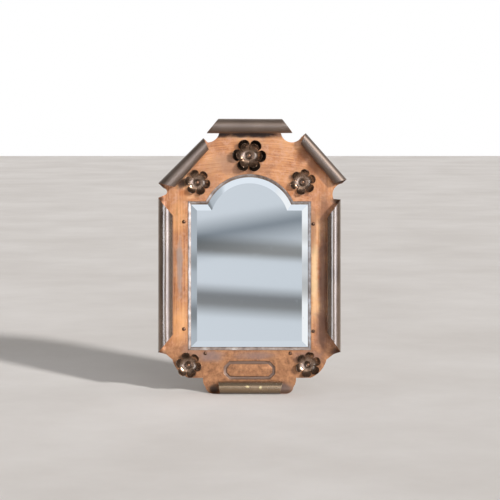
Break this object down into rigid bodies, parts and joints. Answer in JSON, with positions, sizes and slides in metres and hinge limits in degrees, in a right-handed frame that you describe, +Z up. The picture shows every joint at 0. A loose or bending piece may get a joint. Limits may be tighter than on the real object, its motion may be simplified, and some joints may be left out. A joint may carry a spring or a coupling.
{
  "type": "table mirror",
  "caption": "Arched bevelled mirror in a copper sheet frame with rolled edges and stamped flowers, on a wooden board with a hinged easel strut that folds flat.",
  "frame": {"origin": "middle of the board's level foot, on the surface that the mirror stands on", "axes": "+Z up, +Y towards the strut at the back, +X to the right of someone facing the glass"},
  "size_m": [0.283, 0.1251, 0.4116],
  "materials": {
    "copper_sheet": "lacquered copper",
    "bezel_strip": "dull patina",
    "mirror_glass": "silvered, bevelled",
    "silver_coat": "silver coat",
    "board_wood": "stained softwood",
    "strut_wood": "stained softwood",
    "nail_metal": "dark patina",
    "flower_bronze": "dark patina",
    "bracket_brass": "aged brass"
  },
  "bodies": {
    "mirror": {"frame_sheet": "copper_sheet", "glass_bezel": "bezel_strip", "mirror_glass": "mirror_glass", "mirror_silvering": "silver_coat", "backboard": "board_wood", "frame_nails": "nail_metal", "bracket_screws": "bracket_brass", "strut_bracket": "bracket_brass", "strut_pin": "bracket_brass", "top_flower_outer_petals": "flower_bronze", "top_flower_inner_petals": "flower_bronze", "top_flower_cup": "flower_bronze", "top_flower_pin": "nail_metal", "upper_left_flower_petals": "flower_bronze", "upper_left_flower_cup": "flower_bronze", "upper_left_flower_pin": "nail_metal", "upper_right_flower_petals": "flower_bronze", "upper_right_flower_cup": "flower_bronze", "upper_right_flower_pin": "nail_metal", "lower_left_flower_petals": "flower_bronze", "lower_left_flower_cup": "flower_bronze", "lower_left_flower_pin": "nail_metal", "lower_right_flower_petals": "flower_bronze", "lower_right_flower_cup": "flower_bronze", "lower_right_flower_pin": "nail_metal"},
    "strut": {"easel_strut": "strut_wood"}
  },
  "joints": [
    {"name": "strut_hinge", "type": "hinge", "parent": "mirror", "child": "strut", "pos_m": [0, 0.03533, 0.23633], "axis": [1, 0, 0], "range_deg": [-19, 0]}
  ]
}
